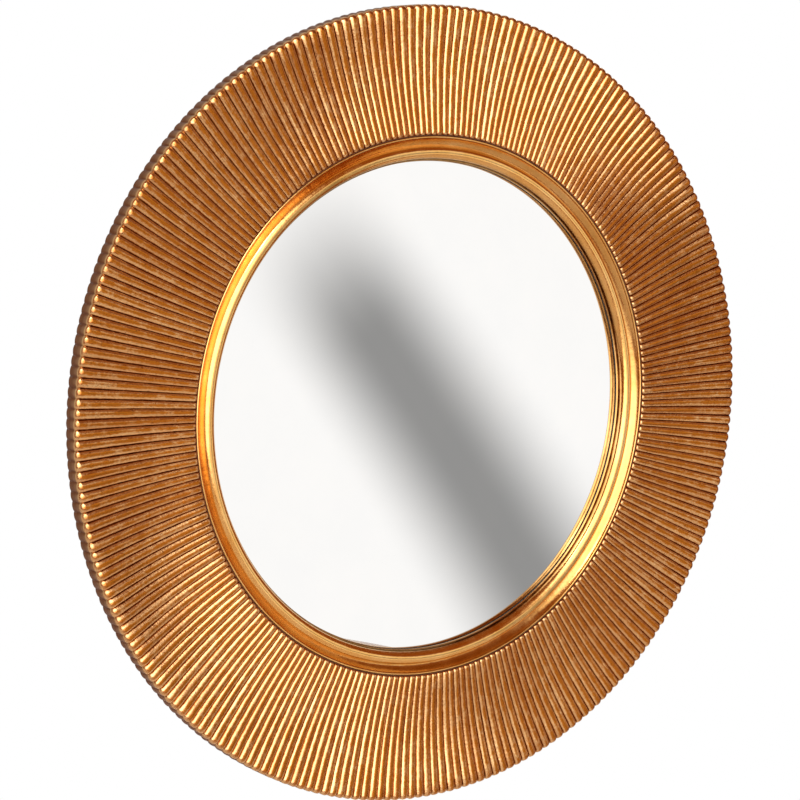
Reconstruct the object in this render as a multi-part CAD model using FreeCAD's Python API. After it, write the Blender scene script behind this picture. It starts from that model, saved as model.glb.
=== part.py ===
"""A large round convex wall mirror with a wide reeded, gilded frame.

Units are millimetres. Everything is drawn about the mirror's own axis, z, with the
wall at z = 0 and the front at +z, x to the right and y up. At the end each piece is
turned so that the mirror hangs upright: its face looks along -Y and its back is at y = 0.
The origin is the point of the mirror's axis on the wall.
"""
import FreeCAD
import Part

import math
import os

V = FreeCAD.Vector

# ---- driving dimensions ------------------------------------------------------------------
outer_radius = 450.0         # over the crests of the ribs
frame_depth = 42.0           # wall to the crests at the front rim
sight_radius = 277.0         # edge of the glass that shows
moulding_width = 27.5        # polished inner moulding, from the glass to the ribs

rib_count = 256
rib_height = 2.4             # groove to crest at the outer rim
cove_depth = 4.0             # how far the ribbed band dips between its two edges
rib_end_length = 4.0         # length over which each rib dies away at its inner end
rib_end_bend = (0.35, 0.75)  # share of that length and of the rib's height where its end bends
rib_land = 1.0               # flat between the moulding and the ribs' inner ends
cove_stations = (0.3, 0.7)   # shares of the ribbed band at which the cove is drawn
shoulder_radius = 4.0        # rounding between front and side
side_bevel_height = 17.0     # height of the sloping foot of the side wall
side_bevel_inset = 22.0      # how far that foot leans in at the wall
rim_wall = 16.0              # flat of the rear rim
front_board = 11.6           # thickness of the frame's front, under the grooves

glass_thickness = 4.0
glass_rise = 22.0            # how far the middle of the glass stands in front of its edge
glass_cover = 8.0            # glass hidden under the moulding
glass_setback = 18.0         # front rim to the edge of the glass
glass_edge_gap = 3.0         # air around the glass inside the backing ring

ring_thickness = 18.0        # backing ring
panel_thickness = 3.0        # back panel
panel_margin = 1.0           # how far the panel reaches past the moulding's outside
lip_thickness = 2.5          # upright edge of the moulding at the glass
lip_gap = 2.5                # edge of the glass to the underside of the lip
quirk_width = 2.0            # narrow flat between lip and roll
roll_radius = 7.5            # wide roll of the moulding
roll_rise = 2.0              # its centre over the top of the lip
roll_end_tilt = 10.0         # degrees above level where the roll meets the hollow
hollow_sag = 1.0             # depth of the hollow outside the roll
bead_radius = 1.2            # small bead at the moulding's outside
bead_drop = 0.8              # centre of the bead under the bottom of the ribs' grooves
foam_width = 16.0
foam_setback = 2.0           # edge of the glass to the foam
gasket_setback = 0.5         # air on both sides of the soft strip under the lip

button_count = 8
button_width = 12.0
button_thickness = 1.2
button_reach = 10.0          # how far a turn button covers the back panel
button_pivot_inset = 12.0    # edge of the panel to the pivot
button_tail = 6.0

frame_screw_count = 12
frame_screw_inset = 26.0     # edge of the backing ring to a frame screw
frame_screw_bite = 4.5       # length in the frame's front
screw_shank_radius = 1.7
screw_head_radius = 3.6
screw_head_height = 2.0
screw_head_rounding = 0.7
screw_slot_width = 0.8
screw_slot_depth = 0.8
short_screw_length = 14.0

bumper_count = 4
bumper_radius = 5.0
bumper_height = 3.0

hanger_angle = 36.0          # degrees above level, from the mirror's middle to each hanger
strap_width = 16.0
strap_length = 46.0
strap_thickness = 1.5
strap_hole_margin = 8.0      # lower end of the strap to its first screw
strap_hole_pitch = 20.0
eye_length = 14.0
wire_radius = 1.5            # of the hanger rings
loop_half_width = 11.5       # middle of the wire
loop_length = 18.0
loop_lean = 4.5              # degrees that a resting ring leans towards the mirror

fit_gap = 0.3                # around pieces that are laid in
running_gap = 0.1            # beside and around what turns
hole_gap = 0.25              # around the shank of a screw

# ---- places that follow ------------------------------------------------------------------
glass_radius = sight_radius + glass_cover
ring_bore = glass_radius + glass_edge_gap
moulding_radius = sight_radius + moulding_width
bore_radius = moulding_radius + fit_gap
rib_start = bore_radius + rib_land
side_radius = outer_radius - rib_height
rear_radius = side_radius - side_bevel_inset
cavity_radius = rear_radius - rim_wall
ring_radius = cavity_radius - fit_gap
panel_radius = moulding_radius + panel_margin

rear_level = bumper_height
groove_level = frame_depth - rib_height
seat_level = groove_level - front_board
ring_back = seat_level - ring_thickness
panel_front = ring_back + panel_thickness
glass_edge_level = frame_depth - glass_setback
lip_level = glass_edge_level + lip_gap

sphere_radius = (glass_radius ** 2 + glass_rise ** 2) / (2 * glass_rise)
sphere_centre = glass_edge_level + glass_rise - sphere_radius

button_pivot = panel_radius + button_pivot_inset
button_front = ring_back - running_gap
button_back = button_front - button_thickness
button_head_level = button_back - running_gap

strap_back = ring_back - strap_thickness
eye_bore = wire_radius + running_gap
eye_radius = eye_bore + strap_thickness
eye_level = ring_back - fit_gap - eye_radius

hanger_radius = 0.5 * (panel_radius + ring_radius)
hanger_drop = 0.5 * (strap_length - loop_length)
hanger_spread = hanger_radius * math.cos(math.radians(hanger_angle))
hanger_height = hanger_radius * math.sin(math.radians(hanger_angle)) + hanger_drop

HANG = FreeCAD.Rotation(V(1, 0, 0), 90)


# ---- helpers -----------------------------------------------------------------------------
def export(name, shape):
    """Turn a piece from the drawing frame to the hanging frame and write it."""
    piece = shape.copy()
    piece.Placement = FreeCAD.Placement(V(0, 0, 0), HANG).multiply(piece.Placement)
    solids = piece.Solids
    print(f"{name:22s} solids {len(solids)} valid {piece.isValid()} volume {piece.Volume / 1000:9.2f} cm3")
    piece.exportStep(f"parts/{name}.step")


def polar(radius, degrees, level):
    """A point at a radius and an angle about the axis, at a level off the wall."""
    angle = math.radians(degrees)
    return V(radius * math.cos(angle), radius * math.sin(angle), level)


def lathe(edges):
    """Turn a closed outline in the x-z plane about the axis."""
    return Part.Face(Part.Wire(edges)).revolve(V(0, 0, 0), V(0, 0, 1), 360)


def outline(*points):
    """Straight edges through (radius, level) points, not closed."""
    corners = [V(radius, 0, level) for radius, level in points]
    return [Part.LineSegment(a, b).toShape() for a, b in zip(corners, corners[1:])]


def bend(start, middle, end):
    """A round edge through three (radius, level) points."""
    points = [V(radius, 0, level) for radius, level in (start, middle, end)]
    return [Part.Arc(*points).toShape()]


def tube(inner, outer, low, high):
    """A plain ring between two radii and two levels."""
    return lathe(outline((inner, low), (outer, low), (outer, high), (inner, high), (inner, low)))


def rod(radius, low, high, x=0.0, y=0.0):
    """A cylinder along the axis."""
    return Part.makeCylinder(radius, high - low, V(x, y, low))


def dome_level(radius, depth=0.0):
    """Level of the glass at a radius, a depth behind its front."""
    return sphere_centre + math.sqrt((sphere_radius - depth) ** 2 - radius ** 2)


# ---- ribbed frame ------------------------------------------------------------------------
def rib_loop(radius, level, lean, share=1.0):
    """One closed line round the frame: an arc over each rib, from groove to groove.

    The crest stands off the groove along lean, a (radial, level) direction, by the rib's
    height there, which shrinks with the radius because the ribs are radial.
    """
    height = share * rib_height * radius / side_radius
    crest = (radius + height * lean[0], level + height * lean[1])
    pitch = 360.0 / rib_count
    edges = []
    for rib in range(rib_count):
        left = polar(radius, rib * pitch, level)
        middle = polar(crest[0], (rib + 0.5) * pitch, crest[1])
        right = polar(radius, (rib + 1) * pitch, level)
        edges.append(Part.Arc(left, middle, right).toShape())
    return Part.Wire(edges)


def ribbed_frame():
    """Side wall, shoulder and coved front as one run of ribs, bored and hollowed behind."""
    slope = math.sqrt(0.5)
    outward = (1.0, 0.0)
    forward = (0.0, 1.0)
    corner = (side_radius - shoulder_radius, groove_level - shoulder_radius)
    rib_full = rib_start + rib_end_length
    band = corner[0] - rib_full
    loops = [
        rib_loop(rear_radius, rear_level, outward),
        rib_loop(side_radius, rear_level + side_bevel_height, outward),
        rib_loop(side_radius, corner[1], outward),
        rib_loop(corner[0] + slope * shoulder_radius, corner[1] + slope * shoulder_radius,
                 (slope, slope)),
        rib_loop(corner[0], groove_level, forward),
    ]
    for share in cove_stations:
        level = groove_level - cove_depth * math.sin(math.pi * share)
        loops.append(rib_loop(corner[0] - share * band, level, forward))
    loops.append(rib_loop(rib_full, groove_level, forward))
    loops.append(rib_loop(rib_start + rib_end_bend[0] * rib_end_length, groove_level, forward,
                          rib_end_bend[1]))
    loops.append(rib_loop(rib_start, groove_level, forward, 0.0))
    body = Part.makeLoft(loops, True, True)
    core = lathe(outline((0, rear_level - 1), (cavity_radius, rear_level - 1),
                         (cavity_radius, seat_level), (bore_radius, seat_level),
                         (bore_radius, groove_level + 1), (0, groove_level + 1),
                         (0, rear_level - 1)))
    body = body.cut(core)
    holes = [frame_screw_hole(k, seat_level - 1) for k in range(frame_screw_count)]
    return body.cut(Part.makeCompound(holes))


# ---- moulding, glass and what holds it ---------------------------------------------------
def sight_moulding():
    """Lip over the glass, a quirk, the wide roll, a scotia and the small bead."""
    lip_top = lip_level + lip_thickness
    roll = (sight_radius + quirk_width + roll_radius, lip_top + roll_rise)
    bead = (moulding_radius - bead_radius, groove_level - bead_drop)
    tilt = math.radians(roll_end_tilt)
    roll_end = (roll[0] + roll_radius * math.cos(tilt), roll[1] + roll_radius * math.sin(tilt))
    bead_start = (bead[0] - bead_radius, bead[1])
    run = math.dist(roll_end, bead_start)
    hollow = (0.5 * (roll_end[0] + bead_start[0]) + hollow_sag * (bead_start[1] - roll_end[1]) / run,
              0.5 * (roll_end[1] + bead_start[1]) - hollow_sag * (bead_start[0] - roll_end[0]) / run)
    step = ring_bore - fit_gap
    edges = outline((sight_radius, lip_level), (sight_radius, lip_top),
                    (roll[0] - roll_radius, lip_top), (roll[0] - roll_radius, roll[1]))
    edges += bend((roll[0] - roll_radius, roll[1]), (roll[0], roll[1] + roll_radius), roll_end)
    edges += bend(roll_end, hollow, bead_start)
    edges += bend(bead_start, (bead[0], bead[1] + bead_radius), (moulding_radius, bead[1]))
    edges += outline((moulding_radius, bead[1]), (moulding_radius, seat_level),
                     (step, seat_level), (step, lip_level), (sight_radius, lip_level))
    return lathe(edges)


def shell_of_glass(inner, outer, low_depth, level):
    """Room between a sphere that is concentric with the glass and a flat level."""
    middle = 0.5 * (inner + outer)
    near = (inner, dome_level(inner, low_depth))
    far = (outer, dome_level(outer, low_depth))
    edges = bend(near, (middle, dome_level(middle, low_depth)), far)
    return edges + outline(far, (outer, level), (inner, level), near)


def mirror_glass():
    """A shallow dome of even thickness, cut to a round edge."""
    rear = glass_thickness
    edge = (glass_radius, dome_level(glass_radius))
    edge_back = (glass_radius, dome_level(glass_radius, rear))
    half = 0.5 * glass_radius
    edges = bend((0, dome_level(0)), (half, dome_level(half)), edge)
    edges += outline(edge, edge_back)
    edges += bend(edge_back, (half, dome_level(half, rear)), (0, dome_level(0, rear)))
    edges += outline((0, dome_level(0, rear)), (0, dome_level(0)))
    return lathe(edges)


def glazing_gasket():
    """Soft strip between the front of the glass and the lip of the moulding."""
    return lathe(shell_of_glass(sight_radius + gasket_setback, glass_radius - gasket_setback,
                                0.0, lip_level))


def foam_ring():
    """Soft ring that presses the glass forward from the back panel."""
    outer = glass_radius - foam_setback
    return lathe(shell_of_glass(outer - foam_width, outer, glass_thickness, panel_front))


def backing_ring():
    """Board ring behind the glass and the frame, rebated for the back panel."""
    ring = tube(ring_bore, ring_radius, ring_back, seat_level)
    rebate = rod(panel_radius + fit_gap, ring_back - 1, panel_front)
    holes = [frame_screw_hole(k, ring_back - 1) for k in range(frame_screw_count)]
    for k in range(button_count):
        place = polar(button_pivot, button_angle(k), 0)
        holes.append(rod(screw_shank_radius + hole_gap, ring_back - 1,
                         button_head_level + short_screw_length + hole_gap, place.x, place.y))
    for x, y in strap_holes():
        holes.append(rod(screw_shank_radius + hole_gap, ring_back - 1,
                         strap_back + short_screw_length + hole_gap, x, y))
    return ring.cut(rebate).cut(Part.makeCompound(holes))


def back_panel():
    """Thin disc that closes the back."""
    return rod(panel_radius, ring_back, panel_front)


# ---- screws ------------------------------------------------------------------------------
def screw(x, y, head_level, length):
    """Pan head towards the wall and a plain shank towards the front."""
    head = rod(screw_head_radius, head_level - screw_head_height, head_level, x, y)
    rim = [edge for edge in head.Edges if abs(edge.BoundBox.ZMax - head.BoundBox.ZMin) < 1e-6]
    head = head.makeFillet(screw_head_rounding, rim)
    back = head_level - screw_head_height
    slot = Part.makeBox(2 * screw_head_radius + 2, screw_slot_width, screw_slot_depth + 1,
                        V(x - screw_head_radius - 1, y - 0.5 * screw_slot_width, back - 1))
    shank = rod(screw_shank_radius, head_level - 0.5, head_level + length, x, y)
    return head.cut(slot).fuse(shank).removeSplitter()


def frame_screw_place(k):
    """Where a frame screw stands."""
    return polar(ring_radius - frame_screw_inset, (k + 0.5) * 360.0 / frame_screw_count, 0)


def frame_screw_hole(k, low):
    """Bore for a frame screw, from a level up to just past its point."""
    place = frame_screw_place(k)
    radius = screw_shank_radius + hole_gap
    return rod(radius, low, seat_level + frame_screw_bite + hole_gap, place.x, place.y)


def button_angle(k):
    """Direction of a turn button, in degrees."""
    return (k + 0.5) * 360.0 / button_count


# ---- turn buttons ------------------------------------------------------------------------
def turn_button(k):
    """A round-ended plate that turns about its screw and keeps the back panel in."""
    pivot = polar(button_pivot, button_angle(k), 0)
    half = 0.5 * button_width
    reach = button_pivot_inset + button_reach
    plate = Part.makeBox(reach - half + button_tail - half, button_width, button_thickness,
                         V(half - reach, -half, button_back))
    plate = plate.fuse([rod(half, button_back, button_front, half - reach, 0),
                        rod(half, button_back, button_front, button_tail - half, 0)])
    plate = plate.removeSplitter()
    plate = plate.cut(rod(screw_shank_radius + running_gap, button_back - 1, button_front + 1))
    plate.rotate(V(0, 0, 0), V(0, 0, 1), button_angle(k))
    plate.translate(pivot)
    return plate


# ---- hangers -----------------------------------------------------------------------------
def strap_holes():
    """Places of the screws of both straps."""
    low = hanger_height - strap_length + strap_hole_margin
    return [(side * hanger_spread, low + k * strap_hole_pitch) for side in (-1, 1) for k in (0, 1)]


def hanger_strap(side):
    """A plate screwed to the backing ring, folded round at the top into an eye."""
    x = side * hanger_spread
    low = hanger_height - strap_length
    plate = Part.makeBox(strap_width, strap_length, strap_thickness,
                         V(x - 0.5 * strap_width, low, strap_back))
    start = V(x - 0.5 * eye_length, hanger_height, eye_level)
    eye = Part.makeCylinder(eye_radius, eye_length, start, V(1, 0, 0))
    bore_start = V(x - 0.5 * strap_width - 1, hanger_height, eye_level)
    bore = Part.makeCylinder(eye_bore, strap_width + 2, bore_start, V(1, 0, 0))
    strap = plate.fuse(eye).cut(bore)
    for hole_x, hole_y in strap_holes():
        if hole_x == x:
            strap = strap.cut(rod(screw_shank_radius + hole_gap, strap_back - 1, ring_back + 1,
                                  hole_x, hole_y))
    return strap.removeSplitter()


def hanger_ring(side):
    """A D of wire: a straight bar through the eye and a bow that closes it."""
    width = loop_half_width
    bow_radius = (width ** 2 + loop_length ** 2) / (2 * loop_length)
    middle = V(0, loop_length - bow_radius, 0)
    reach = math.degrees(math.atan2(middle.y, width))
    start = V(width, 0, 0)
    tangent = V(middle.y, width, 0)
    section = Part.Wire(Part.Circle(start, tangent, wire_radius).toShape())
    bow = Part.Face(section).revolve(middle, V(0, 0, 1), 180 + 2 * reach)
    bar = Part.makeCylinder(wire_radius, 2 * width, V(-width, 0, 0), V(1, 0, 0))
    corners = [Part.makeSphere(wire_radius, V(end * width, 0, 0)) for end in (-1, 1)]
    ring = bow.fuse([bar] + corners)
    ring.rotate(V(0, 0, 0), V(1, 0, 0), loop_lean)
    ring.translate(V(side * hanger_spread, hanger_height, eye_level))
    return ring


# ---- write every piece -------------------------------------------------------------------
os.makedirs("parts", exist_ok=True)
export("ribbed_frame", ribbed_frame())
export("sight_moulding", sight_moulding())
export("mirror_glass", mirror_glass())
export("glazing_gasket", glazing_gasket())
export("foam_ring", foam_ring())
export("backing_ring", backing_ring())
export("back_panel", back_panel())
for number in range(frame_screw_count):
    spot = frame_screw_place(number)
    export(f"frame_screw_{number + 1}",
           screw(spot.x, spot.y, ring_back, ring_thickness + frame_screw_bite))
for number in range(button_count):
    spot = polar(button_pivot, button_angle(number), 0)
    export(f"turn_button_{number + 1}", turn_button(number))
    export(f"button_screw_{number + 1}", screw(spot.x, spot.y, button_head_level, short_screw_length))
for number in range(bumper_count):
    spot = polar(0.5 * (cavity_radius + rear_radius), (number + 0.5) * 360.0 / bumper_count, 0)
    export(f"wall_bumper_{number + 1}", rod(bumper_radius, 0, bumper_height, spot.x, spot.y))
for name, side in (("left", -1), ("right", 1)):
    export(f"hanger_strap_{name}", hanger_strap(side))
    export(f"hanger_ring_{name}", hanger_ring(side))
for number, (x, y) in enumerate(strap_holes()):
    export(f"hanger_screw_{number + 1}", screw(x, y, strap_back, short_screw_length))
for name, value in (("eye level", eye_level), ("hanger height", hanger_height), ("ring back", ring_back),
                    ("hanger spread", hanger_spread), ("sphere centre", sphere_centre),
                    ("sphere radius", sphere_radius), ("seat level", seat_level)):
    print(f"{name} {value:.4f}")
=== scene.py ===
# %% [markdown]
# # A convex wall mirror in a wide ribbed gilt frame
#
# This notebook dresses a finished construction model of a round mirror. The construction
# model has every board, screw and hanger at its true size. Here the three pieces that the
# eye rests on, the ribbed frame, the smooth moulding and the glass, are made again as fine
# surfaces, and everything gets its real finish: gold leaf over a dark ground, burnished
# gold, silvered glass, bare fibreboard and zinc-plated steel.
#
# Every length is in metres. The mirror faces along -Y, Z is up and the wall is at y = 0.

import math

import bpy
import numpy as np
from mathutils import Matrix, Vector


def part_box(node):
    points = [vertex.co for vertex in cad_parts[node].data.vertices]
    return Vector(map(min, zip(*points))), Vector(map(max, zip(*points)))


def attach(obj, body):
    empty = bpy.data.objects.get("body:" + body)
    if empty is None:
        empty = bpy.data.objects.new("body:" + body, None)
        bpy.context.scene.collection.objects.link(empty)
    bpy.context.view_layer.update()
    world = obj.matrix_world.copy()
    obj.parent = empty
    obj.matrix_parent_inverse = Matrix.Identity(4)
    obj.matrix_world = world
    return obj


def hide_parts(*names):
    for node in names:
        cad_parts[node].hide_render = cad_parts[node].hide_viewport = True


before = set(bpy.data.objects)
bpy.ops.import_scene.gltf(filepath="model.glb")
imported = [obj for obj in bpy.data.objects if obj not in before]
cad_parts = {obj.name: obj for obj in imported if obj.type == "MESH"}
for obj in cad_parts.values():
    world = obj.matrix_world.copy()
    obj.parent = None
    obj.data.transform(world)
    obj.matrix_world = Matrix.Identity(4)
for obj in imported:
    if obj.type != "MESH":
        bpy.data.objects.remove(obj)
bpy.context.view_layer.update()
print("pieces in the construction model:", len(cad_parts))

# %% [markdown]
# ## Reading the sizes
#
# A dressed surface has to lie on the boards that carry it, so its sizes are read from the
# construction model and not typed in again. A round piece gives two numbers: half its
# width is its radius, and its nearest and farthest y are how far it stands off the wall.
# From here on a place is written as a radius and a level, the distance from the wall.

# %% Sizes from the construction model
MM = 0.001


def radius_of(node):
    """Half the width of a round piece."""
    low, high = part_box(node)
    return 0.5 * (high[0] - low[0])


def levels_of(node):
    """The piece's nearest and farthest distance from the wall."""
    low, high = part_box(node)
    return -high[1], -low[1]


outer_radius = radius_of("ribbed_frame")
rim_level, crest_level = levels_of("ribbed_frame")
moulding_radius = radius_of("sight_moulding")
lip_level, bead_level = levels_of("sight_moulding")
glass_radius = radius_of("mirror_glass")
glass_back_level, glass_top_level = levels_of("mirror_glass")
seat_level = levels_of("backing_ring")[1]
print(f"outside {outer_radius:.4f}, crests at {crest_level:.4f}, glass {glass_radius:.4f}")

# %% [markdown]
# ## One helper for every surface
#
# All three new pieces are turned shapes: a profile carried round the mirror's axis. The
# profile may change a little as it goes, and that is how the ribs come about. The helper
# below takes two tables, radius and level, with a row for each step round the axis and a
# column for each point of the profile, and joins neighbours with four-sided faces. Whole
# tables are worked out at once, which is quick even for a hundred thousand faces.

# %% A turned surface from two tables


def turned_points(angles, radii, levels):
    """Point = (radius cos angle, -level, radius sin angle) for each entry of the tables."""
    x = radii * np.cos(angles)
    z = radii * np.sin(angles)
    return np.stack([x, -levels, z], axis=-1)


def ring_faces(steps, points):
    """Four-sided faces of a grid that closes both round the axis and along the profile."""
    row = np.arange(steps)[:, None] * points
    next_row = ((np.arange(steps) + 1) % steps)[:, None] * points
    column = np.arange(points)[None, :]
    next_column = (column + 1) % points
    corners = [row + column, next_row + column, next_row + next_column, row + next_column]
    return np.stack(corners, axis=-1).reshape(-1, 4)


def enclosed_volume(points, faces):
    """A sixth of the sum of the triple products of the faces' triangles."""
    total = 0.0
    for second, third in ((1, 2), (2, 3)):
        if faces.shape[1] <= third:
            continue
        a = points[faces[:, 0]]
        b = points[faces[:, second]]
        c = points[faces[:, third]]
        total += np.einsum("ij,ij->", a, np.cross(b, c)) / 6.0
    return total


def make_piece(name, points, face_lists, marks, crease_degrees):
    """Builds a closed mesh whose faces point outwards, with named values on its points."""
    volume = sum(enclosed_volume(points, faces) for faces in face_lists)
    if volume < 0:
        face_lists = [faces[:, ::-1] for faces in face_lists]
    mesh = bpy.data.meshes.new(name)
    faces = [face for group in face_lists for face in group.tolist()]
    mesh.from_pydata(points.tolist(), [], faces)
    for label, values in marks.items():
        attribute = mesh.attributes.new(label, "FLOAT", "POINT")
        flat = np.ascontiguousarray(values, dtype=np.float32).ravel()
        attribute.data.foreach_set("value", flat)
    mesh.shade_smooth()
    mesh.set_sharp_from_angle(angle=math.radians(crease_degrees))
    mesh.update()
    piece = bpy.data.objects.new(name, mesh)
    bpy.context.scene.collection.objects.link(piece)
    triangles = sum(len(face) - 2 for face in faces)
    print(f"{name}: {triangles} triangles, {abs(volume) * 1e6:.0f} cm3")
    return piece


# %% [markdown]
# ## The ribbed frame
#
# On the real frame a half-round rib is cast or carved every centimetre and a bit, dying
# away beside the moulding, dipping through a shallow hollow, rolling over a tight shoulder
# and running down the side to the wall. A texture could fake the ribs on a flat ring, but
# their edge would be a clean circle, and the shadowed notches round the rim are what makes
# the frame look carved. So each rib is real: twelve columns of points across its arch.
#
# First comes the line at the bottom of the grooves, as a chain of radius and level pairs
# with the direction in which a rib stands up from it.

# %% The groove line, from the wall to the moulding
rib_count = 256
rib_height = 2.4 * MM
shoulder_radius = 4.0 * MM
cove_depth = 4.0 * MM
foot_height = 17.0 * MM
foot_inset = 22.0 * MM
rim_wall = 16.0 * MM
laying_gap = 0.3 * MM
rib_land = 1.0 * MM
rib_end_length = 4.0 * MM
wall_share = 0.5
cove_points = 12

side_radius = outer_radius - rib_height
groove_level = crest_level - rib_height
rear_radius = side_radius - foot_inset
cavity_radius = rear_radius - rim_wall
bore_radius = moulding_radius + laying_gap
rib_start = bore_radius + rib_land
shoulder_centre = (side_radius - shoulder_radius, groove_level - shoulder_radius)


def line_between(start, end, count):
    """Evenly spaced radius and level pairs, the end left out."""
    share = np.linspace(0.0, 1.0, count, endpoint=False)[:, None]
    return np.array(start) + share * (np.array(end) - np.array(start))


def groove_line():
    """Foot, side wall, shoulder, cove and rib end, each with its lean and its share of rib.

    The cove's level falls by its depth times the sine of pi times the share of the way in.
    On the side wall the ribs are worn to about half, and they stand up round the shoulder.
    At the inner end the rib's height falls as a quarter circle.
    """
    foot = line_between((rear_radius, rim_level), (side_radius, rim_level + foot_height), 3)
    wall = line_between((side_radius, rim_level + foot_height),
                        (side_radius, shoulder_centre[1]), 2)
    turn = np.radians(np.array([0.0, 22.5, 45.0, 67.5]))
    shoulder = np.stack([shoulder_centre[0] + shoulder_radius * np.cos(turn),
                         shoulder_centre[1] + shoulder_radius * np.sin(turn)], axis=-1)
    way = np.linspace(0.0, 1.0, cove_points, endpoint=False)
    full_radius = rib_start + rib_end_length
    cove = np.stack([shoulder_centre[0] + way * (full_radius - shoulder_centre[0]),
                     groove_level - cove_depth * np.sin(math.pi * way)], axis=-1)
    fall = np.array([0.0, 0.35, 0.6, 0.8, 0.93, 1.0])
    end = np.stack([full_radius - fall * rib_end_length, np.full(len(fall), groove_level)], axis=-1)
    rear = np.array([(bore_radius, groove_level), (bore_radius, seat_level),
                     (cavity_radius, seat_level), (cavity_radius, rim_level)])
    line = np.concatenate([foot, wall, shoulder, cove, end, rear])
    low_points = len(foot) + len(wall)
    front_points = cove_points + len(fall)
    unribbed = np.zeros(len(rear))
    upright = np.full(front_points, 0.5 * math.pi)
    lean = np.concatenate([np.zeros(low_points), turn, upright, unribbed])
    share = np.concatenate([np.full(low_points, wall_share), [0.62, 0.80, 0.94, 1.0],
                            np.ones(cove_points), np.sqrt(np.clip(1.0 - fall ** 2, 0.0, 1.0)),
                            unribbed])
    gilt = np.concatenate([[0.0], np.ones(len(line) - 1 - len(rear)), unribbed])
    # The side mark sets where the finish paints shade on the side wall and a highlight round the
    # shoulder.
    side = np.concatenate([np.ones(low_points), [0.9, 0.5, 0.2, 0.05],
                           np.zeros(front_points), unribbed])
    return line, lean, share, gilt, side


line, lean, share, gilt, side = groove_line()
print("points along the groove line:", len(line))

# %% [markdown]
# A hand-finished frame isn't a gear wheel. Each rib here is a little taller or lower than
# its neighbour, a little off its even place, and wavers along its length, all from one
# seeded random stream so that the frame is the same every time. The crest mark runs from
# 0 in the groove to 1 on the crest, and the finish reads it to put dark ground below, gold
# on the flanks and worn leaf on top. The tone mark gives each rib its own lightness.

# %% The ribs
chance = np.random.default_rng(256)
height_scatter = 0.05
tallest_rib = 1.02
place_scatter = 0.035
sway_reach = 0.03
sway_rate = 40.0
sway_spread = 0.3
columns = np.array([0.0, 0.05, 0.13, 0.22, 0.32, 0.42, 0.5, 0.58, 0.68, 0.78, 0.87, 0.95])


def arch(across):
    """Height of the circle through groove, crest and groove, as a share of the crest's."""
    half = math.pi * side_radius / rib_count
    circle = (half ** 2 + rib_height ** 2) / (2.0 * rib_height)
    offset = (2.0 * across - 1.0) * half
    return (np.sqrt(circle ** 2 - offset ** 2) - (circle - rib_height)) / rib_height


def rib_tables():
    """Angle, radius and level of every point, and the marks that the finish reads.

    Radius = groove radius + height cos(lean), level = groove level + height sin(lean), and
    height = rib height times the arch, times radius over side radius, times its own share.
    """
    pitch = 2.0 * math.pi / rib_count
    rib = np.arange(rib_count)
    tall = 1.0 + height_scatter * chance.standard_normal(rib_count)
    shift = place_scatter * chance.standard_normal(rib_count)
    phase = chance.uniform(0.0, 2.0 * math.pi, rib_count)
    own_rate = (1.0 + sway_spread * np.cos(phase))[:, None]
    sway = sway_reach * np.sin(phase[:, None] + sway_rate * line[None, :, 0] * own_rate)
    arched = arch(columns)
    off_centre = np.sin(math.pi * columns)
    place = rib[:, None, None] + columns[None, :, None]
    place = place + off_centre[None, :, None] * (shift[:, None, None] + sway[:, None, :])
    angles = pitch * place
    lift = rib_height * arched[None, :, None] * np.minimum(tall, tallest_rib)[:, None, None]
    lift = lift * (share * line[:, 0] / side_radius)[None, None, :]
    radii = line[None, None, :, 0] + lift * np.cos(lean)[None, None, :]
    levels = line[None, None, :, 1] + lift * np.sin(lean)[None, None, :]
    crest = np.broadcast_to(arched[None, :, None] * share[None, None, :], angles.shape)
    tone = np.broadcast_to(chance.uniform(0.0, 1.0, rib_count)[:, None, None], angles.shape)
    gilding = np.broadcast_to(gilt[None, None, :], angles.shape)
    flank = np.broadcast_to(side[None, None, :], angles.shape)
    run = np.concatenate([[0.0], np.cumsum(np.hypot(*np.diff(line, axis=0).T))])
    along = np.broadcast_to(run[None, None, :], angles.shape)
    tables = (angles, radii, levels, crest, tone, gilding, flank, along)
    return [table.reshape(-1, len(line)) for table in tables]


angles, radii, levels, crest, tone, gilding, flank, along = rib_tables()
ribs = make_piece(
    "ribbed_gilt_frame",
    turned_points(angles, radii, levels).reshape(-1, 3),
    [ring_faces(*angles.shape)],
    {"crest": crest, "tone": tone, "gilding": gilding, "flank": flank, "along": along},
    crease_degrees=50.0,
)
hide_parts("ribbed_frame")
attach(ribs, "frame")

# %% [markdown]
# ## The smooth moulding
#
# Between ribs and glass runs a burnished moulding: an upright lip, a narrow quirk, a wide
# roll, a hollow and a small bead. It is plain turning, so a profile of lines and arcs is
# enough. The arcs are sampled closely, because burnished gold shows every flat. A mark
# called hollow is 1 down in the quirk and in the hollow, where polish never reaches.

# %% Profile of the moulding
lip_thickness = 2.5 * MM
quirk_width = 2.0 * MM
roll_radius = 7.5 * MM
roll_rise = 2.0 * MM
bead_radius = 1.2 * MM
glass_cover = 8.0 * MM
glass_edge_gap = 3.0 * MM
sight_radius = glass_radius - glass_cover
lip_top = lip_level + lip_thickness
roll_centre = (sight_radius + quirk_width + roll_radius, lip_top + roll_rise)
bead_centre = (moulding_radius - bead_radius, bead_level - bead_radius)


def arc_points(centre, radius, start, end, count):
    """Points on a circle, from one angle to another, in degrees."""
    turn = np.radians(np.linspace(start, end, count))
    x = centre[0] + radius * np.cos(turn)
    y = centre[1] + radius * np.sin(turn)
    return np.stack([x, y], axis=-1)


def hollow_points(start, end, sag, count):
    """A parabola between two points that sinks by the sag, square to the line between them."""
    way = np.linspace(0.0, 1.0, count + 2)[1:-1, None]
    start = np.array(start)
    end = np.array(end)
    along = end - start
    across = np.array([along[1], -along[0]]) / np.hypot(*along)
    return start + way * along + 4.0 * sag * way * (1.0 - way) * across


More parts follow.
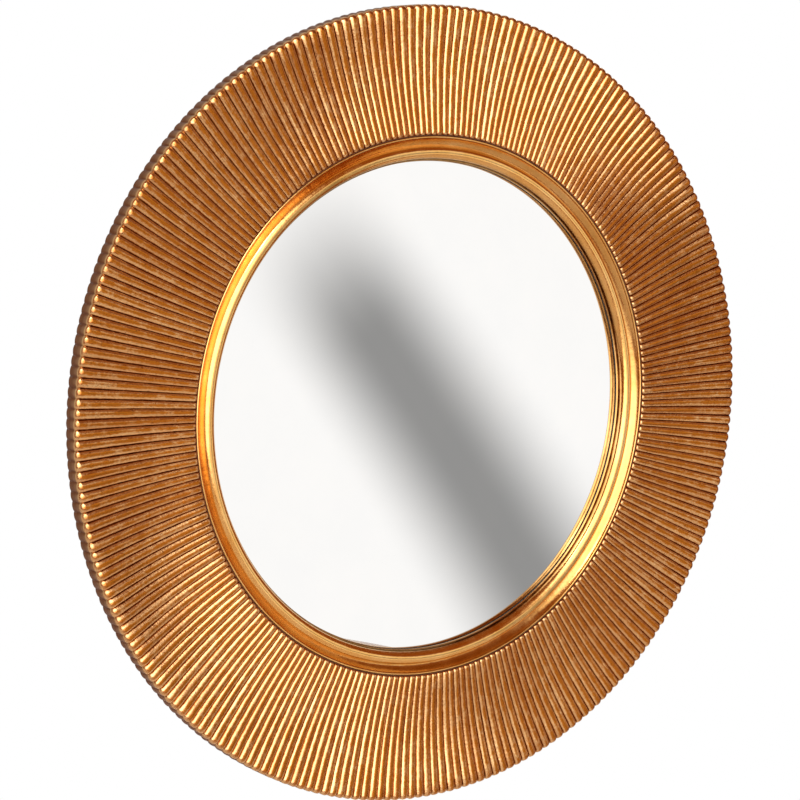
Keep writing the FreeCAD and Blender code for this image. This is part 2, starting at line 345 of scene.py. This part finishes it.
def moulding_profile():
    """Lip, quirk, roll, hollow, bead, back and step, with how deep each point lies in a hollow."""
    lip = np.array([(sight_radius, lip_level), (sight_radius, lip_top - 0.4 * MM),
                    (sight_radius + 0.4 * MM, lip_top), (roll_centre[0] - roll_radius, lip_top)])
    roll = arc_points(roll_centre, roll_radius, 180.0, 10.0, 26)
    bead = arc_points(bead_centre, bead_radius, 180.0, 0.0, 14)
    scotia = hollow_points(roll[-1], bead[0], 1.0 * MM, 8)
    step = glass_radius + glass_edge_gap - laying_gap
    back = np.array([(moulding_radius, seat_level), (step, seat_level), (step, lip_level)])
    hollow = [np.array([0.7, 0.3, 0.6, 1.0]), np.exp(-np.linspace(0.0, 9.0, len(roll))),
              0.35 * np.sin(np.linspace(0.4, 2.7, len(scotia))),
              np.exp(-np.linspace(0.0, 7.0, len(bead))), np.ones(len(back))]
    return np.concatenate([lip, roll, scotia, bead, back]), np.concatenate(hollow)


profile, hollow = moulding_profile()
steps = 720
turn = (np.arange(steps) * 2.0 * math.pi / steps)[:, None]
angles = np.broadcast_to(turn, (steps, len(profile)))
radii = np.broadcast_to(profile[:, 0], angles.shape)
levels = np.broadcast_to(profile[:, 1], angles.shape)
moulding = make_piece(
    "smooth_gilt_moulding",
    turned_points(angles, radii, levels).reshape(-1, 3),
    [ring_faces(*angles.shape)],
    {"hollow": np.broadcast_to(hollow, angles.shape)},
    crease_degrees=35.0,
)
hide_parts("sight_moulding")
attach(moulding, "frame")

# %% [markdown]
# ## The domed glass
#
# The glass is a slice of a large sphere, of even thickness. Curved mirrors show the
# slightest facet as a kink in the reflection, so this cap has far more points than its
# outline needs. A pole where all columns meet would pinch the reflection, but here the
# rings close in on one point and the normals are smooth, so it can't be seen.

# %% The cap of glass
glass_thickness = 4.0 * MM
rise = glass_top_level - glass_back_level


def cap_level(radius, depth, ball, centre):
    """Level of a sphere, a depth inside the ball, at a radius from the axis."""
    return centre + np.sqrt((ball - depth) ** 2 - radius ** 2)


def ball_from_cap():
    """Radius of the ball whose cap, with its thickness, just fills the glass's box.

    The back edge lies at the box's lowest level and the front pole at its highest. A few
    rounds of ball = (edge radius squared + rise squared) / (2 rise) settle on it, each with
    the rise of the front face alone.
    """
    front_rise = rise - glass_thickness
    ball = 0.0
    for _ in range(20):
        ball = (glass_radius ** 2 + front_rise ** 2) / (2.0 * front_rise)
        back_edge = math.sqrt((ball - glass_thickness) ** 2 - glass_radius ** 2)
        front_edge = math.sqrt(ball ** 2 - glass_radius ** 2)
        front_rise = rise - (front_edge - back_edge)
    return ball, glass_top_level - ball


ball, centre = ball_from_cap()
rings = 96
segments = 512
ring_radii = glass_radius * np.linspace(0.0, 1.0, rings + 1)[1:]
front = cap_level(ring_radii, 0.0, ball, centre)
rear_radii = ring_radii[::-8]
rear = cap_level(rear_radii, glass_thickness, ball, centre)
cap_radii = np.concatenate([ring_radii, rear_radii])
cap_levels = np.concatenate([front, rear])
turn = (np.arange(segments) * 2.0 * math.pi / segments)[:, None]
shape = (segments, len(cap_radii))
body_points = turned_points(np.broadcast_to(turn, shape), np.broadcast_to(cap_radii, shape),
                            np.broadcast_to(cap_levels, shape)).reshape(-1, 3)
front_pole = [0.0, -glass_top_level, 0.0]
rear_pole = [0.0, -(centre + ball - glass_thickness), 0.0]
cap_points = np.vstack([body_points, front_pole, rear_pole])
count = shape[1]
grid = ring_faces(*shape).reshape(segments, count, 4)[:, :-1].reshape(-1, 4)
here = np.arange(segments) * count
there = np.roll(here, -1)
front_fan = np.stack([np.full(segments, segments * count), there, here], axis=-1)
rear_centre = np.full(segments, segments * count + 1)
rear_fan = np.stack([rear_centre, here + count - 1, there + count - 1], axis=-1)
silver_side = np.concatenate([np.zeros(rings), np.ones(count - rings)])
back_mark = np.append(np.broadcast_to(silver_side, shape).ravel(), [0.0, 1.0])
glass = make_piece("domed_mirror_glass", cap_points, [grid, front_fan, rear_fan],
                   {"back_side": back_mark}, crease_degrees=30.0)
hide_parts("mirror_glass")
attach(glass, "frame")
print(f"ball radius {ball:.3f}, rise {rise:.4f}")

# %% [markdown]
# ## Effects that several finishes share
#
# Leaf, board and plated steel all vary in patches: a tone that drifts over the surface.
# That is one effect with different sizes, so it is built once as a node group. Its inputs
# are the place on the object, the size of the patches and two end values; its output is a
# number between them. A second group picks out small scattered spots, for worn places,
# pinholes and the specks of pressed fibre.

# %% Node helpers and the shared groups


def add_node(tree, kind, **settings):
    """Adds a node and sets its properties by name."""
    node = tree.nodes.new(kind)
    for name, value in settings.items():
        setattr(node, name, value)
    return node


def feed(tree, source, target):
    """Joins an output to an input, or puts a plain value there."""
    if isinstance(source, bpy.types.NodeSocket):
        tree.links.new(source, target)
    else:
        target.default_value = source


def new_group(name, inputs, outputs):
    """An empty shader group with named sockets."""
    group = bpy.data.node_groups.new(name, "ShaderNodeTree")
    for socket, kind in inputs:
        group.interface.new_socket(name=socket, in_out="INPUT", socket_type=kind)
    for socket, kind in outputs:
        group.interface.new_socket(name=socket, in_out="OUTPUT", socket_type=kind)
    return group, add_node(group, "NodeGroupInput"), add_node(group, "NodeGroupOutput")


def patches_group():
    """Value = low + (high - low) times a steepened cloud of noise."""
    group, start, end = new_group(
        "patches",
        [("Place", "NodeSocketVector"), ("Fineness", "NodeSocketFloat"),
         ("Low", "NodeSocketFloat"), ("High", "NodeSocketFloat")],
        [("Value", "NodeSocketFloat")],
    )
    noise = add_node(group, "ShaderNodeTexNoise")
    noise.inputs["Detail"].default_value = 5.0
    noise.inputs["Roughness"].default_value = 0.62
    spread = add_node(group, "ShaderNodeMapRange")
    spread.inputs["From Min"].default_value = 0.34
    spread.inputs["From Max"].default_value = 0.66
    feed(group, start.outputs["Place"], noise.inputs["Vector"])
    feed(group, start.outputs["Fineness"], noise.inputs["Scale"])
    feed(group, noise.outputs["Fac"], spread.inputs["Value"])
    feed(group, start.outputs["Low"], spread.inputs["To Min"])
    feed(group, start.outputs["High"], spread.inputs["To Max"])
    feed(group, spread.outputs["Result"], end.inputs["Value"])
    return group


def flecks_group():
    """Mask = 1 in small scattered spots, by a threshold on fine noise."""
    group, start, end = new_group(
        "flecks",
        [("Place", "NodeSocketVector"), ("Fineness", "NodeSocketFloat"),
         ("Threshold", "NodeSocketFloat"), ("Softness", "NodeSocketFloat")],
        [("Mask", "NodeSocketFloat")],
    )
    noise = add_node(group, "ShaderNodeTexNoise")
    noise.inputs["Detail"].default_value = 3.0
    noise.inputs["Roughness"].default_value = 0.7
    top = add_node(group, "ShaderNodeMath", operation="ADD")
    edge = add_node(group, "ShaderNodeMapRange")
    feed(group, start.outputs["Place"], noise.inputs["Vector"])
    feed(group, start.outputs["Fineness"], noise.inputs["Scale"])
    feed(group, start.outputs["Threshold"], top.inputs[0])
    feed(group, start.outputs["Softness"], top.inputs[1])
    feed(group, noise.outputs["Fac"], edge.inputs["Value"])
    feed(group, start.outputs["Threshold"], edge.inputs["From Min"])
    feed(group, top.outputs["Value"], edge.inputs["From Max"])
    feed(group, edge.outputs["Result"], end.inputs["Mask"])
    return group


patches = patches_group()
flecks = flecks_group()
print("shared groups:", patches.name, flecks.name)

# %% [markdown]
# Each finish below is a function that builds one material. These short helpers keep them
# readable: a new material with its shader, a placed group, a mix of two colours and a
# bump. Numbers that are the same all over go straight onto the shader's own sockets.

# %% Material helpers


def new_finish(name):
    """A material with only a Principled shader and its output; returns material, tree, shader."""
    material = bpy.data.materials.new(name)
    material.use_nodes = True
    tree = material.node_tree
    tree.nodes.clear()
    shader = add_node(tree, "ShaderNodeBsdfPrincipled")
    output = add_node(tree, "ShaderNodeOutputMaterial")
    tree.links.new(shader.outputs["BSDF"], output.inputs["Surface"])
    return material, tree, shader


def place_on(tree, stretch=(1.0, 1.0, 1.0)):
    """The place on the object, stretched along its axes."""
    coordinates = add_node(tree, "ShaderNodeTexCoord")
    mapping = add_node(tree, "ShaderNodeMapping")
    mapping.inputs["Scale"].default_value = stretch
    tree.links.new(coordinates.outputs["Object"], mapping.inputs["Vector"])
    return mapping.outputs["Vector"]


def use_group(tree, group, output, **inputs):
    """Places a shared group, feeds it and returns one of its outputs."""
    node = add_node(tree, "ShaderNodeGroup")
    node.node_tree = group
    for name, value in inputs.items():
        feed(tree, value, node.inputs[name])
    return node.outputs[output]


def mix_colours(tree, share, first, second, blend="MIX"):
    """First colour at share 0, second at share 1."""
    node = add_node(tree, "ShaderNodeMix", data_type="RGBA", blend_type=blend)
    feed(tree, share, node.inputs["Factor"])
    feed(tree, first, node.inputs[6])
    feed(tree, second, node.inputs[7])
    return node.outputs[2]


def calculate(tree, operation, first, second):
    """One sum, product or power of two values."""
    node = add_node(tree, "ShaderNodeMath", operation=operation)
    feed(tree, first, node.inputs[0])
    feed(tree, second, node.inputs[1])
    return node.outputs["Value"]


def mark(tree, name):
    """A value that the mesh carries on its points."""
    node = add_node(tree, "ShaderNodeAttribute", attribute_name=name)
    return node.outputs["Fac"]


def stops(tree, value, *colours):
    """A colour ramp through (position, colour) stops."""
    node = add_node(tree, "ShaderNodeValToRGB")
    ramp = node.color_ramp
    while len(ramp.elements) < len(colours):
        ramp.elements.new(0.5)
    for element, (position, colour) in zip(ramp.elements, colours):
        element.position = position
        element.color = colour
    feed(tree, value, node.inputs["Fac"])
    return node.outputs["Color"]


def roughen(tree, shader, height, depth):
    """A bump of a depth in metres."""
    bump = add_node(tree, "ShaderNodeBump")
    bump.inputs["Distance"].default_value = depth
    feed(tree, height, bump.inputs["Height"])
    tree.links.new(bump.outputs["Normal"], shader.inputs["Normal"])


print("material helpers ready")

# %% [markdown]
# ## Gold leaf on the ribs
#
# Water gilding is leaf laid on red-brown clay, then toned with a dark glaze that is wiped
# off the high places. So the colour follows the crest mark: nearly black brown in the
# groove, deep amber just above it, full gold on the upper flanks, and at the very top,
# where years of dusting wear the leaf thin, the red clay warms it. Patches and flecks
# break it up, and each rib is a touch lighter or darker than the next. The strokes of the
# glaze run along the ribs, so the noise is read at a place made from each rib's own number
# and the length along it, not from the place in the room. The flank mark is 1 on the side
# wall, which is painted dark brown as shade, and where it falls off round the shoulder the
# colour is lifted to clean leaf as a painted highlight.

# %% The leaf finish
bole = (0.080, 0.0120, 0.0010, 1.0)
amber = (0.380, 0.095, 0.0080, 1.0)
leaf = (0.900, 0.560, 0.260, 1.0)
rubbed = (0.490, 0.145, 0.0120, 1.0)
# Painted shade colour for the side wall.
side_shade_brown = (0.165, 0.0430, 0.0010, 1.0)
bare_wood = (0.110, 0.045, 0.016, 1.0)
tone_share = 0.35
fleck_share = 0.6
# How strongly the shoulder is lifted to clean leaf, as a painted highlight.
shoulder_highlight_share = 3.6
# How strongly the side wall is darkened, as painted shade.
side_shade_share = 0.95
leaf_metal = 0.97
leaf_pits = 0.00008
rib_apart = 400.0
stroke_rate = 60.0
gloss_rate = 110.0


def rib_strokes(tree, across, lengthwise):
    """Noise that runs along each rib: its own tone picks the place, its length the variation."""
    join = add_node(tree, "ShaderNodeCombineXYZ")
    feed(tree, calculate(tree, "MULTIPLY", mark(tree, "tone"), rib_apart), join.inputs["X"])
    feed(tree, calculate(tree, "MULTIPLY", mark(tree, "along"), lengthwise), join.inputs["Y"])
    feed(tree, calculate(tree, "MULTIPLY", mark(tree, "crest"), across), join.inputs["Z"])
    return join.outputs["Vector"]


def leaf_finish():
    """Leaf over bole, by the marks crest, tone, along, flank and gilding."""
    material, tree, shader = new_finish("gold_leaf_on_ribs")
    place = place_on(tree)
    height = mark(tree, "crest")
    stroke = use_group(tree, patches, "Value", Place=rib_strokes(tree, 2.0, stroke_rate),
                       Fineness=1.0, Low=-0.10, High=0.08)
    drift = use_group(tree, patches, "Value", Place=place, Fineness=18.0, Low=-0.05, High=0.04)
    grain = use_group(tree, patches, "Value", Place=place, Fineness=300.0, Low=-0.06, High=0.05)
    coarse = calculate(tree, "ADD", height, drift)
    fine = calculate(tree, "ADD", grain, stroke)
    level = calculate(tree, "ADD", coarse, fine)
    colour = stops(tree, level, (0.0, bole), (0.13, bole), (0.26, amber), (0.42, leaf),
                   (0.72, leaf), (0.93, rubbed))
    own_tone = calculate(tree, "MULTIPLY", mark(tree, "tone"), tone_share)
    colour = mix_colours(tree, own_tone, colour, amber)
    worn = use_group(tree, flecks, "Mask", Place=place, Fineness=420.0,
                     Threshold=0.62, Softness=0.05)
    colour = mix_colours(tree, calculate(tree, "MULTIPLY", worn, fleck_share), colour, bole)
    flank_mark = mark(tree, "flank")
    # Painted highlight: round the shoulder the colour is lifted towards clean leaf, most where the
    # flank mark is one half.
    front_share = calculate(tree, "SUBTRACT", 1.0, flank_mark)
    shoulder_highlight = calculate(tree, "MULTIPLY", flank_mark, front_share)
    colour = mix_colours(tree, calculate(tree, "MULTIPLY", shoulder_highlight, shoulder_highlight_share), colour, leaf)
    # Painted shade: on the side wall the colour is darkened to brown.
    shade = calculate(tree, "MULTIPLY", calculate(tree, "POWER", flank_mark, 2.0), side_shade_share)
    colour = mix_colours(tree, shade, colour, side_shade_brown)
    gilt_mask = mark(tree, "gilding")
    colour = mix_colours(tree, gilt_mask, bare_wood, colour)
    feed(tree, colour, shader.inputs["Base Color"])
    feed(tree, calculate(tree, "MULTIPLY", gilt_mask, leaf_metal), shader.inputs["Metallic"])
    gloss = use_group(tree, patches, "Value", Place=rib_strokes(tree, 1.0, gloss_rate),
                      Fineness=1.0, Low=0.16, High=0.30)
    feed(tree, calculate(tree, "ADD", gloss, calculate(tree, "MULTIPLY", flank_mark, 0.2)),
         shader.inputs["Roughness"])
    pits = use_group(tree, patches, "Value", Place=place, Fineness=260.0, Low=0.0, High=1.0)
    roughen(tree, shader, pits, leaf_pits)
    return material


ribs.data.materials.append(leaf_finish())
print(ribs.name, "wears", ribs.data.materials[0].name)

# %% [markdown]
# ## Burnished gold on the moulding
#
# The moulding is rubbed with an agate stone until it shines like metal. Only the quirk and
# the hollow keep their dark glaze. The roughness is low but not even: faint patches of it
# soften the reflection here and there, as on all hand-burnished work.

# %% The burnished finish
burnished_deep = (0.90, 0.460, 0.120, 1.0)
burnished_pale = (0.97, 0.570, 0.210, 1.0)
dark_glaze = (0.100, 0.032, 0.005, 1.0)
spot_share = 0.5
burnish_dents = 0.00012


def burnished_finish():
    """Bright leaf with glaze in the hollows."""
    material, tree, shader = new_finish("burnished_gold")
    place = place_on(tree)
    tone = use_group(tree, patches, "Value", Place=place, Fineness=22.0, Low=0.0, High=1.0)
    colour = mix_colours(tree, tone, burnished_deep, burnished_pale)
    depth = mark(tree, "hollow")
    glaze = use_group(tree, patches, "Value", Place=place, Fineness=70.0, Low=0.75, High=1.0)
    glazed = calculate(tree, "MULTIPLY", depth, glaze)
    colour = mix_colours(tree, glazed, colour, dark_glaze)
    spots = use_group(tree, flecks, "Mask", Place=place, Fineness=300.0,
                      Threshold=0.66, Softness=0.04)
    colour = mix_colours(tree, calculate(tree, "MULTIPLY", spots, spot_share), colour, amber)
    feed(tree, colour, shader.inputs["Base Color"])
    shader.inputs["Metallic"].default_value = 1.0
    gloss = use_group(tree, patches, "Value", Place=place, Fineness=60.0, Low=0.13, High=0.24)
    feed(tree, gloss, shader.inputs["Roughness"])
    dents = use_group(tree, patches, "Value", Place=place, Fineness=45.0, Low=0.0, High=1.0)
    roughen(tree, shader, dents, burnish_dents)
    return material


moulding.data.materials.append(burnished_finish())
print(moulding.name, "wears", moulding.data.materials[0].name)

# %% [markdown]
# ## Silvered glass
#
# A mirror's picture comes from the silver behind the glass. A shader with full metal and
# almost no roughness gives that picture cleanly. Its back is covered by grey-brown paint,
# so the back_side mark turns the colour dull and the surface rough there.

# %% The mirror finish
silver_cool = (0.955, 0.960, 0.965, 1.0)
silver_plain = (0.975, 0.975, 0.975, 1.0)
backing_paint = (0.16, 0.13, 0.11, 1.0)
paint_roughness = 0.6


def mirror_finish():
    """Clean silver in front and at the edge, backing paint behind."""
    material, tree, shader = new_finish("silvered_glass_finish")
    place = place_on(tree)
    behind = mark(tree, "back_side")
    cloud = use_group(tree, patches, "Value", Place=place, Fineness=14.0, Low=0.0, High=1.0)
    silver = mix_colours(tree, cloud, silver_cool, silver_plain)
    colour = mix_colours(tree, behind, silver, backing_paint)
    feed(tree, colour, shader.inputs["Base Color"])
    shader.inputs["Metallic"].default_value = 1.0
    film = use_group(tree, patches, "Value", Place=place, Fineness=9.0, Low=0.0, High=0.02)
    paint = calculate(tree, "MULTIPLY", behind, paint_roughness)
    feed(tree, calculate(tree, "MAXIMUM", film, paint), shader.inputs["Roughness"])
    return material


glass.data.materials.append(mirror_finish())
print(glass.name, "wears", glass.data.materials[0].name)

# %% [markdown]
# ## What is behind
#
# The back is plain workshop material. Fibreboard is a mat of fine fibre with pale and dark
# specks; hardboard is darker, with a woven screen's print on one side; the small parts are
# zinc-plated steel with a faint grain; the bumpers are black rubber. The construction
# model already has the right shapes for these, so only their finish is made here.

# %% Finishes of the back
speck_share = 0.6
speck_darkness = 0.45
zinc_blue = (0.62, 0.63, 0.65, 1.0)
zinc_pale = (0.74, 0.74, 0.73, 1.0)
zinc_dull = (0.30, 0.29, 0.27, 1.0)
zinc_grain = 0.00004


def board_finish(name, pale, dark, fineness, dent):
    """Pressed fibre: two tones in fine specks, dull and slightly uneven."""
    material, tree, shader = new_finish(name)
    place = place_on(tree)
    cloud = use_group(tree, patches, "Value", Place=place, Fineness=fineness, Low=0.0, High=1.0)
    colour = mix_colours(tree, cloud, pale, dark)
    specks = use_group(tree, flecks, "Mask", Place=place, Fineness=fineness * 4.0,
                       Threshold=0.60, Softness=0.06)
    darker = tuple(speck_darkness * part for part in dark[:3]) + (1.0,)
    colour = mix_colours(tree, calculate(tree, "MULTIPLY", specks, speck_share), colour, darker)
    stain = use_group(tree, patches, "Value", Place=place, Fineness=5.0, Low=0.0, High=0.25)
    colour = mix_colours(tree, stain, colour, dark)
    feed(tree, colour, shader.inputs["Base Color"])
    gloss = use_group(tree, patches, "Value", Place=place, Fineness=fineness, Low=0.62, High=0.82)
    feed(tree, gloss, shader.inputs["Roughness"])
    roughen(tree, shader, cloud, dent)
    return material


def zinc_finish():
    """Bright plated steel with a fine grain and a few dull spots."""
    material, tree, shader = new_finish("zinc_plated_steel")
    place = place_on(tree, (1.0, 1.0, 6.0))
    cloud = use_group(tree, patches, "Value", Place=place, Fineness=180.0, Low=0.0, High=1.0)
    colour = mix_colours(tree, cloud, zinc_blue, zinc_pale)
    spots = use_group(tree, flecks, "Mask", Place=place, Fineness=500.0,
                      Threshold=0.64, Softness=0.05)
    colour = mix_colours(tree, calculate(tree, "MULTIPLY", spots, speck_share), colour, zinc_dull)
    feed(tree, colour, shader.inputs["Base Color"])
    shader.inputs["Metallic"].default_value = 1.0
    gloss = use_group(tree, patches, "Value", Place=place, Fineness=300.0, Low=0.26, High=0.42)
    feed(tree, gloss, shader.inputs["Roughness"])
    roughen(tree, shader, cloud, zinc_grain)
    return material


def soft_finish(name, colour_low, colour_high, fineness, dent):
    """Rubber, foam or felt: dull, with open grain."""
    material, tree, shader = new_finish(name)
    place = place_on(tree)
    cloud = use_group(tree, patches, "Value", Place=place, Fineness=fineness, Low=0.0, High=1.0)
    feed(tree, mix_colours(tree, cloud, colour_low, colour_high), shader.inputs["Base Color"])
    gloss = use_group(tree, patches, "Value", Place=place, Fineness=fineness, Low=0.6, High=0.9)
    feed(tree, gloss, shader.inputs["Roughness"])
    roughen(tree, shader, cloud, dent)
    return material


fibreboard = board_finish("bare_fibreboard", (0.420, 0.270, 0.140, 1.0),
                          (0.300, 0.180, 0.085, 1.0), 120.0, 0.0002)
hardboard = board_finish("brown_hardboard", (0.150, 0.078, 0.036, 1.0),
                         (0.085, 0.042, 0.019, 1.0), 200.0, 0.0003)
zinc = zinc_finish()
rubber = soft_finish("bumper_rubber", (0.012, 0.012, 0.012, 1.0),
                     (0.030, 0.029, 0.028, 1.0), 240.0, 0.0001)
foam = soft_finish("pressing_foam", (0.030, 0.030, 0.034, 1.0),
                   (0.090, 0.090, 0.095, 1.0), 420.0, 0.0005)
felt = soft_finish("glazing_felt", (0.010, 0.010, 0.010, 1.0),
                   (0.028, 0.026, 0.024, 1.0), 600.0, 0.0003)
print("plain finishes made:", len((fibreboard, hardboard, zinc, rubber, foam, felt)))

# %% Give each kept piece its finish
finish_of = {"backing_ring": fibreboard, "back_panel": hardboard,
             "foam_ring": foam, "glazing_gasket": felt}
replaced = ("ribbed_frame", "sight_moulding", "mirror_glass")
for node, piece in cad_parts.items():
    if node in replaced:
        continue
    finish = finish_of.get(node, rubber if node.startswith("wall_bumper") else zinc)
    for slot in piece.material_slots:
        slot.material = finish
print("kept pieces finished:", len(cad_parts) - len(replaced))

# %% [markdown]
# ## Studio
#
# Gold has no colour of its own in the dark: it shows what is around it. An even white room
# would turn every rib flat, so the studio is a warm brown room with a large soft box on the
# left in front. The ribs at the top and the bottom of the ring lean towards the box and show
# it as pale streaks; those at the sides fan up and down, past the box, and stay brown. A
# white wall stands straight ahead and opposite the glass, because that is what the glass
# shows, with a soft grey slant across it. Behind the mirror the room is plain grey. The
# camera itself sees a plain white background.

# %% World
stripe_across = (0.747, 0.0, 0.664)
stripe_along = (-0.664, 0.0, 0.747)
stripe_place = 0.38
stripe_half_width = 0.15
stripe_dark = 0.30
warm_room = (0.270, 0.088, 0.015, 1.0)
grey_room = (0.700, 0.690, 0.670, 1.0)
box_white = (1.0, 0.985, 0.965, 1.0)
box_side = (-0.515, -0.824, 0.237)
box_edges = (0.74, 0.90)
box_strength = 3.0
glass_view = (0.590, -0.805, -0.063)
glass_edges = (0.85, 0.92)
ahead = (0.0, -1.0, 0.0)
ahead_edges = (0.88, 0.95)
astern = (0.0, 1.0, 0.0)
astern_edges = (0.15, 0.55)
stripe_core = 0.01
stripe_reach = (-0.30, -0.02)
stripe_front = (0.2, 0.5)


def soft_step(tree, value, low, high, at_low, at_high):
    """Rises smoothly from one value to another."""
    node = add_node(tree, "ShaderNodeMapRange", interpolation_type="SMOOTHSTEP")
    feed(tree, value, node.inputs["Value"])
    ends = {"From Min": low, "From Max": high, "To Min": at_low, "To Max": at_high}
    for name, number in ends.items():
        node.inputs[name].default_value = number
    return node.outputs["Result"]


def along_axis(tree, direction, axis):
    """How far a direction points along an axis."""
    node = add_node(tree, "ShaderNodeVectorMath", operation="DOT_PRODUCT")
    tree.links.new(direction, node.inputs[0])
    node.inputs[1].default_value = axis
    return node.outputs["Value"]


def studio_world():
    """Room, box and stripe for light and reflections, plain white for the camera."""
    world = bpy.data.worlds.new("studio")
    bpy.context.scene.world = world
    world.use_nodes = True
    tree = world.node_tree
    tree.nodes.clear()
    direction = add_node(tree, "ShaderNodeTexCoord").outputs["Generated"]
    facing = along_axis(tree, direction, ahead)
    behind = soft_step(tree, along_axis(tree, direction, astern), *astern_edges, 0.0, 1.0)
    colour = mix_colours(tree, behind, warm_room, grey_room)
    opposite = soft_step(tree, along_axis(tree, direction, glass_view), *glass_edges, 0.0, 1.0)
    straight = soft_step(tree, facing, *ahead_edges, 0.0, 1.0)
    wall = calculate(tree, "MAXIMUM", opposite, straight)
    colour = mix_colours(tree, wall, colour, box_white)
    across = along_axis(tree, direction, stripe_across)
    off_stripe = calculate(tree, "SUBTRACT", across, stripe_place)
    off_stripe = calculate(tree, "ABSOLUTE", off_stripe, 0.0)
    shade = soft_step(tree, off_stripe, stripe_core, stripe_half_width, 1.0, 0.0)
    reach = soft_step(tree, along_axis(tree, direction, stripe_along), *stripe_reach, 1.0, 0.0)
    front = soft_step(tree, facing, *stripe_front, 0.0, 1.0)
    shade = calculate(tree, "MULTIPLY", calculate(tree, "MULTIPLY", shade, reach), front)
    grey = tuple(stripe_dark * part for part in box_white[:3]) + (1.0,)
    colour = mix_colours(tree, shade, colour, grey)
    box = soft_step(tree, along_axis(tree, direction, box_side), *box_edges, 0.0, 1.0)
    glow = tuple(box_strength * part for part in box_white[:3]) + (1.0,)
    colour = mix_colours(tree, box, colour, glow)
    seen = add_node(tree, "ShaderNodeLightPath").outputs["Is Camera Ray"]
    colour = mix_colours(tree, seen, colour, (1.0, 1.0, 1.0, 1.0))
    background = add_node(tree, "ShaderNodeBackground")
    feed(tree, colour, background.inputs["Color"])
    background.inputs["Strength"].default_value = 1.0
    output = add_node(tree, "ShaderNodeOutputWorld")
    tree.links.new(background.outputs["Background"], output.inputs["Surface"])
    return world


world = studio_world()
print("world:", world.name, "with", len(world.node_tree.nodes), "nodes")

# %% [markdown]
# The floor is a pale disc well below the mirror, out of the camera's sight from the front.
# The warm room would tint it, so for the camera alone it glows a little and stays pale.
# It catches the object's shadow in the other views. Two soft lamps add the small glints on
# the crests and light the back: one high on the left in front, one behind on the right.

# %% Floor and lamps
floor_level = -1.1
floor_radius = 2.0
floor_corners = 96
floor_paper = (0.86, 0.86, 0.85, 1.0)
floor_glow = (0.28, 0.42, 0.47, 1.0)


def pale_floor():
    """A disc of one face."""
    turn = np.linspace(0.0, 2.0 * math.pi, floor_corners, endpoint=False)
    level = np.full(floor_corners, floor_level)
    rim = np.stack([floor_radius * np.cos(turn), floor_radius * np.sin(turn), level], axis=-1)
    mesh = bpy.data.meshes.new("studio_floor")
    mesh.from_pydata(rim.tolist(), [], [list(range(floor_corners))])
    floor = bpy.data.objects.new("studio_floor", mesh)
    bpy.context.scene.collection.objects.link(floor)
    material, tree, shader = new_finish("floor_paper")
    shader.inputs["Base Color"].default_value = floor_paper
    shader.inputs["Roughness"].default_value = 0.9
    seen = add_node(tree, "ShaderNodeLightPath").outputs["Is Camera Ray"]
    glow = mix_colours(tree, seen, (0.0, 0.0, 0.0, 1.0), floor_glow)
    feed(tree, glow, shader.inputs["Emission Color"])
    shader.inputs["Emission Strength"].default_value = 1.0
    mesh.materials.append(material)
    return floor


def soft_lamp(name, place, size, power, colour):
    """A square lamp that points at the mirror's middle."""
    light = bpy.data.lights.new(name, "AREA")
    light.shape = "RECTANGLE"
    light.size = size[0]
    light.size_y = size[1]
    light.energy = power
    light.color = colour
    lamp = bpy.data.objects.new(name, light)
    bpy.context.scene.collection.objects.link(lamp)
    lamp.location = place
    lamp.rotation_euler = (-Vector(place)).to_track_quat("-Z", "Y").to_euler()
    return lamp


floor = pale_floor()
soft_lamp("high_left", (-1.6, -1.5, 2.0), (0.8, 0.8), 14.0, (1.0, 0.96, 0.90))
soft_lamp("behind_right", (1.5, 1.4, 0.7), (0.8, 0.8), 8.0, (1.0, 0.95, 0.88))
print(floor.name, "at", floor_level)

# %% [markdown]
# ## Camera
#
# The view is from the left and a little above, with a long lens and the camera tipped
# slightly. Its place is a few frame radii from the middle of the front rim, and its three
# directions say where right, up and backwards point in the room.

# %% Camera at the photograph's angle
picture_size = 800
lens_pixels = 2671.0
sensor_width = 36.0
camera_offset = np.array([-3.881, -5.407, 0.422])
camera_right = Vector((0.81907, -0.56506, 0.09918))
camera_up = Vector((-0.04638, 0.10710, 0.99317))
camera_back = Vector((-0.57182, -0.81807, 0.06151))


def add_camera():
    """Columns of the camera's matrix are its right, up and back directions and its place."""
    lens = bpy.data.cameras.new("camera")
    lens.sensor_width = sensor_width
    lens.lens = sensor_width * lens_pixels / picture_size
    camera = bpy.data.objects.new("camera", lens)
    bpy.context.scene.collection.objects.link(camera)
    place = Vector(camera_offset * outer_radius) + Vector((0.0, -crest_level, 0.0))
    turned = Matrix((camera_right, camera_up, camera_back)).transposed().to_4x4()
    camera.matrix_world = Matrix.Translation(place) @ turned
    bpy.context.scene.camera = camera
    return camera


camera = add_camera()
bpy.context.scene.view_settings.view_transform = "Standard"
print("camera at", [round(value, 3) for value in camera.location])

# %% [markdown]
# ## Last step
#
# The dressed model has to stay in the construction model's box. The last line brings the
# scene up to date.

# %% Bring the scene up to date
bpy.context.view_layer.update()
